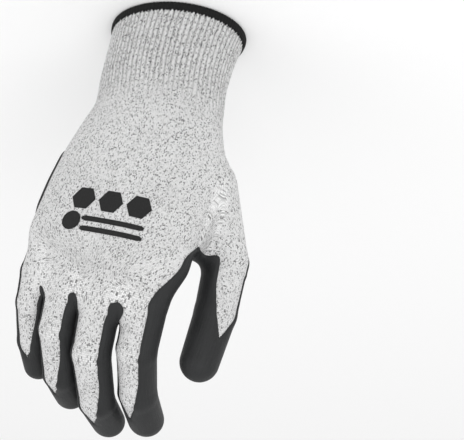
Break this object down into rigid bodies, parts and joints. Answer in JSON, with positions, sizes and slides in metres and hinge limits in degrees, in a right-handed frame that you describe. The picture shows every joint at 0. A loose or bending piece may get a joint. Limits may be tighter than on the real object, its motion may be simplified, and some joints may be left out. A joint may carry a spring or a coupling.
{
  "type": "cut resistant glove",
  "caption": "Right-hand knitted cut resistant work glove with a black foam-coated palm and fingertips, a ribbed elastic cuff and an overlocked hem.",
  "frame": {"origin": "middle of the glove's footprint, on the plane of the hem that it stands on", "axes": "+Z from the cuff's hem to the fingertips, +X to the thumb side, -Y out of the palm"},
  "size_m": [0.113, 0.083, 0.214],
  "materials": {
    "knit": "heather grey plain knit of cut resistant yarn, ribbed at the cuff",
    "coating": "matte black foam coat, slightly soft sheen",
    "hem": "black overlock stitching",
    "elastic": "off-white elastic yarn",
    "print": "matte black heat-transfer film"
  },
  "bodies": {
    "cuff": {"cuff_rib_knit": "knit", "cuff_hem_overlock": "hem", "elastic_yarn_1": "elastic", "elastic_yarn_2": "elastic", "elastic_yarn_3": "elastic", "elastic_yarn_4": "elastic"},
    "hand": {"hand_knit": "knit", "thumb_heel_knit": "knit", "index_root_knit": "knit", "middle_root_knit": "knit", "ring_root_knit": "knit", "little_root_knit": "knit", "palm_coating": "coating", "print_hexagon_1": "print", "print_hexagon_2": "print", "print_hexagon_3": "print", "print_badge": "print", "print_bar_1": "print", "print_bar_2": "print"},
    "index_proximal": {"index_proximal_knit": "knit", "index_proximal_coating": "coating"},
    "index_middle": {"index_middle_knit": "knit", "index_middle_coating": "coating"},
    "index_distal": {"index_distal_knit": "knit", "index_distal_coating": "coating"},
    "middle_proximal": {"middle_proximal_knit": "knit", "middle_proximal_coating": "coating"},
    "middle_middle": {"middle_middle_knit": "knit", "middle_middle_coating": "coating"},
    "middle_distal": {"middle_distal_knit": "knit", "middle_distal_coating": "coating"},
    "ring_proximal": {"ring_proximal_knit": "knit", "ring_proximal_coating": "coating"},
    "ring_middle": {"ring_middle_knit": "knit", "ring_middle_coating": "coating"},
    "ring_distal": {"ring_distal_knit": "knit", "ring_distal_coating": "coating"},
    "little_proximal": {"little_proximal_knit": "knit", "little_proximal_coating": "coating"},
    "little_middle": {"little_middle_knit": "knit", "little_middle_coating": "coating"},
    "little_distal": {"little_distal_knit": "knit", "little_distal_coating": "coating"},
    "thumb_proximal": {"thumb_proximal_knit": "knit", "thumb_proximal_coating": "coating"},
    "thumb_distal": {"thumb_distal_knit": "knit", "thumb_distal_coating": "coating"}
  },
  "joints": [
    {"name": "wrist_flex", "type": "hinge", "parent": "cuff", "child": "hand", "pos_m": [0.00126, 0.01013, 0.05], "axis": [1, 0, 0], "range_deg": [-18, 22], "stiffness_Nm_per_rad": 1.2},
    {"name": "index_knuckle", "type": "hinge", "parent": "hand", "child": "index_proximal", "pos_m": [0.01528, 0.02368, 0.16147], "axis": [0.9636, 0.0418, 0.2639], "range_deg": [-29, 36], "stiffness_Nm_per_rad": 0.08},
    {"name": "index_bend", "type": "hinge", "parent": "index_proximal", "child": "index_middle", "pos_m": [0.00995, 0.01183, 0.18283], "axis": [0.9636, 0.0418, 0.2639], "range_deg": [-26, 44], "stiffness_Nm_per_rad": 0.05},
    {"name": "index_tip", "type": "hinge", "parent": "index_middle", "child": "index_distal", "pos_m": [0.00679, -0.00927, 0.19769], "axis": [0.9636, 0.0418, 0.2639], "range_deg": [-18.2, 31.8], "stiffness_Nm_per_rad": 0.03},
    {"name": "middle_knuckle", "type": "hinge", "parent": "hand", "child": "middle_proximal", "pos_m": [-0.00731, 0.02527, 0.16115], "axis": [0.977, 0.0333, 0.2104], "range_deg": [-28, 37], "stiffness_Nm_per_rad": 0.08},
    {"name": "middle_bend", "type": "hinge", "parent": "middle_proximal", "child": "middle_middle", "pos_m": [-0.01226, 0.01335, 0.186], "axis": [0.977, 0.0333, 0.2104], "range_deg": [-32, 38], "stiffness_Nm_per_rad": 0.05},
    {"name": "middle_tip", "type": "hinge", "parent": "middle_middle", "child": "middle_distal", "pos_m": [-0.01485, -0.01185, 0.20206], "axis": [0.977, 0.0333, 0.2104], "range_deg": [-22.4, 27.6], "stiffness_Nm_per_rad": 0.03},
    {"name": "ring_knuckle", "type": "hinge", "parent": "hand", "child": "ring_proximal", "pos_m": [-0.02748, 0.02395, 0.15527], "axis": [0.9877, 0.0245, 0.1545], "range_deg": [-20, 45], "stiffness_Nm_per_rad": 0.08},
    {"name": "ring_bend", "type": "hinge", "parent": "ring_proximal", "child": "ring_middle", "pos_m": [-0.03063, 0.01822, 0.17628], "axis": [0.9877, 0.0245, 0.1545], "range_deg": [-36, 34], "stiffness_Nm_per_rad": 0.05},
    {"name": "ring_tip", "type": "hinge", "parent": "ring_middle", "child": "ring_distal", "pos_m": [-0.03266, -0.00201, 0.19248], "axis": [0.9877, 0.0245, 0.1545], "range_deg": [-25.2, 24.8], "stiffness_Nm_per_rad": 0.03},
    {"name": "little_knuckle", "type": "hinge", "parent": "hand", "child": "little_proximal", "pos_m": [-0.0458, 0.01974, 0.1461], "axis": [0.9954, 0.015, 0.0947], "range_deg": [-16, 49], "stiffness_Nm_per_rad": 0.08},
    {"name": "little_bend", "type": "hinge", "parent": "little_proximal", "child": "little_middle", "pos_m": [-0.04721, 0.01586, 0.16156], "axis": [0.9954, 0.015, 0.0947], "range_deg": [-25, 45], "stiffness_Nm_per_rad": 0.05},
    {"name": "little_tip", "type": "hinge", "parent": "little_middle", "child": "little_distal", "pos_m": [-0.04849, 0.00327, 0.17704], "axis": [0.9954, 0.015, 0.0947], "range_deg": [-17.5, 32.5], "stiffness_Nm_per_rad": 0.03},
    {"name": "thumb_base", "type": "hinge", "parent": "hand", "child": "thumb_proximal", "pos_m": [0.04433, -0.00253, 0.12669], "axis": [0.602, -0.7954, 0.0703], "range_deg": [-12, 3], "stiffness_Nm_per_rad": 0.08},
    {"name": "thumb_tip", "type": "hinge", "parent": "thumb_proximal", "child": "thumb_distal", "pos_m": [0.04311, -0.00081, 0.15662], "axis": [0.602, -0.7954, 0.0703], "range_deg": [-11, 10], "stiffness_Nm_per_rad": 0.04}
  ],
  "couplings": [
    {"joint": "index_tip", "follows": "index_bend", "ratio": 0.7},
    {"joint": "middle_tip", "follows": "middle_bend", "ratio": 0.7},
    {"joint": "ring_tip", "follows": "ring_bend", "ratio": 0.7},
    {"joint": "little_tip", "follows": "little_bend", "ratio": 0.7}
  ]
}
